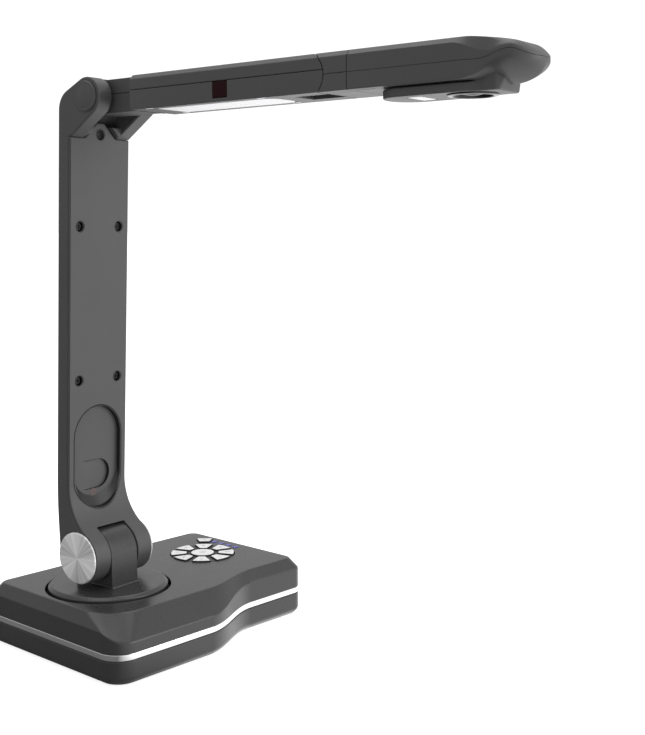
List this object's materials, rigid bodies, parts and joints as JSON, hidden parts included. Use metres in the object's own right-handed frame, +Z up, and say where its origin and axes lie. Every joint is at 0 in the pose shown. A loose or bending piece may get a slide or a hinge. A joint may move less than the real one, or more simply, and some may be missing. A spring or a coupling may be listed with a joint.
{
  "type": "document camera",
  "caption": "Desktop document camera: a swivelling, folding arm with a tilting, rolling camera head and work light, on a weighted base with a ring keypad.",
  "frame": {"origin": "centre of the object's bounding box on the table, under the rubber feet", "axes": "+Z up; the camera head reaches towards -Y over the page; the keypad is on the +X side of the base"},
  "size_m": [0.202, 0.4118, 0.4053],
  "materials": {
    "arm_plastic": "fine-textured charcoal",
    "base_plastic": "semi-gloss charcoal",
    "key_plastic": "smooth white",
    "chrome_strip": "mirror",
    "spun_aluminium": "radially spun",
    "black_plastic": "black",
    "foot_rubber": "matt black",
    "steel_weight": "raw",
    "pin_steel": "turned",
    "board": "green solder mask",
    "led_board": "white solder mask",
    "diffuser": "frosted white",
    "light_guide": "clear blue-violet",
    "port_metal": "stamped",
    "dark_filter": "dark red infrared filter",
    "lens_ring_metal": "polished",
    "lens_glass": "coated, dark",
    "screw_black": "black oxide"
  },
  "bodies": {
    "base": {"base_top_cover": "base_plastic", "base_trim_strip": "chrome_strip", "base_bottom_cover": "base_plastic", "base_weight": "steel_weight", "rear_panel": "arm_plastic", "main_board": "board", "keypad_board": "board", "indicator_light_guide": "light_guide", "swivel_bearing": "black_plastic", "hdmi_port": "port_metal", "usb_port": "port_metal", "power_jack": "port_metal", "foot_front_left": "foot_rubber", "foot_front_right": "foot_rubber", "foot_back_right": "foot_rubber", "foot_back_left": "foot_rubber"},
    "turntable": {"turntable": "base_plastic", "swivel_spindle": "pin_steel", "spindle_nut": "pin_steel"},
    "lower_arm": {"lower_arm_back_shell": "arm_plastic", "lower_arm_front_cover": "arm_plastic", "recess_tray": "arm_plastic", "sensor_window": "dark_filter", "arm_screw_1": "screw_black", "arm_screw_2": "screw_black", "arm_screw_3": "screw_black", "arm_screw_4": "screw_black", "arm_screw_5": "screw_black", "lower_hinge_pin": "pin_steel", "hinge_disc_left": "spun_aluminium", "hinge_disc_right": "spun_aluminium", "upper_hinge_pin": "pin_steel", "pivot_cap_left": "arm_plastic", "pivot_cap_right": "arm_plastic"},
    "upper_arm": {"upper_arm_top_shell": "arm_plastic", "upper_arm_bottom_shell": "arm_plastic", "light_diffuser": "diffuser", "light_board": "led_board", "ir_window": "dark_filter"},
    "tilt_block": {"tilt_block": "arm_plastic", "tilt_pin": "pin_steel", "roll_spindle": "pin_steel"},
    "head": {"head_top_shell": "arm_plastic", "head_bottom_shell": "arm_plastic", "camera_board": "board", "lens_barrel": "black_plastic", "lens_pod": "arm_plastic", "lens_ring": "lens_ring_metal", "lens_glass": "lens_glass", "pod_light_window": "diffuser"},
    "ring_key_1": {"ring_key_1": "key_plastic"},
    "ring_key_2": {"ring_key_2": "key_plastic"},
    "ring_key_3": {"ring_key_3": "key_plastic"},
    "ring_key_4": {"ring_key_4": "key_plastic"},
    "ring_key_5": {"ring_key_5": "key_plastic"},
    "ring_key_6": {"ring_key_6": "key_plastic"},
    "ring_key_7": {"ring_key_7": "key_plastic"},
    "ring_key_8": {"ring_key_8": "key_plastic"},
    "centre_key": {"centre_key": "key_plastic"},
    "power_key": {"power_key": "key_plastic"}
  },
  "joints": [
    {"name": "swivel", "type": "hinge", "parent": "base", "child": "turntable", "pos_m": [-0.04695, 0.13191, 0.0455], "axis": [0, 0, 1], "range_deg": [-165, 165]},
    {"name": "lower_arm_hinge", "type": "hinge", "parent": "turntable", "child": "lower_arm", "pos_m": [-0.04706, 0.1332, 0.0711], "axis": [0.9962, 0.0872, 0], "range_deg": [-20, 40]},
    {"name": "upper_arm_hinge", "type": "hinge", "parent": "lower_arm", "child": "upper_arm", "pos_m": [-0.04546, 0.11483, 0.3905], "axis": [-0.9962, -0.0872, 0], "range_deg": [-75, 75]},
    {"name": "head_tilt", "type": "hinge", "parent": "upper_arm", "child": "tilt_block", "pos_m": [-0.02984, -0.06369, 0.39168], "axis": [0.9962, 0.0872, 0], "range_deg": [-45, 45]},
    {"name": "head_roll", "type": "hinge", "parent": "tilt_block", "child": "head", "pos_m": [-0.02984, -0.06368, 0.39238], "axis": [0.0872, -0.9961, 0.0105], "range_deg": [-90, 90]},
    {"name": "ring_key_1_press", "type": "slide", "parent": "base", "child": "ring_key_1", "axis": [0, 0, -1], "range_m": [0, 0.001], "stiffness_N_per_m": 400, "springref_m": -0.0005},
    {"name": "ring_key_2_press", "type": "slide", "parent": "base", "child": "ring_key_2", "axis": [0, 0, -1], "range_m": [0, 0.001], "stiffness_N_per_m": 400, "springref_m": -0.0005},
    {"name": "ring_key_3_press", "type": "slide", "parent": "base", "child": "ring_key_3", "axis": [0, 0, -1], "range_m": [0, 0.001], "stiffness_N_per_m": 400, "springref_m": -0.0005},
    {"name": "ring_key_4_press", "type": "slide", "parent": "base", "child": "ring_key_4", "axis": [0, 0, -1], "range_m": [0, 0.001], "stiffness_N_per_m": 400, "springref_m": -0.0005},
    {"name": "ring_key_5_press", "type": "slide", "parent": "base", "child": "ring_key_5", "axis": [0, 0, -1], "range_m": [0, 0.001], "stiffness_N_per_m": 400, "springref_m": -0.0005},
    {"name": "ring_key_6_press", "type": "slide", "parent": "base", "child": "ring_key_6", "axis": [0, 0, -1], "range_m": [0, 0.001], "stiffness_N_per_m": 400, "springref_m": -0.0005},
    {"name": "ring_key_7_press", "type": "slide", "parent": "base", "child": "ring_key_7", "axis": [0, 0, -1], "range_m": [0, 0.001], "stiffness_N_per_m": 400, "springref_m": -0.0005},
    {"name": "ring_key_8_press", "type": "slide", "parent": "base", "child": "ring_key_8", "axis": [0, 0, -1], "range_m": [0, 0.001], "stiffness_N_per_m": 400, "springref_m": -0.0005},
    {"name": "centre_key_press", "type": "slide", "parent": "base", "child": "centre_key", "axis": [0, 0, -1], "range_m": [0, 0.001], "stiffness_N_per_m": 400, "springref_m": -0.0005},
    {"name": "power_key_press", "type": "slide", "parent": "base", "child": "power_key", "axis": [0, 0, -1], "range_m": [0, 0.001], "stiffness_N_per_m": 400, "springref_m": -0.0005}
  ]
}
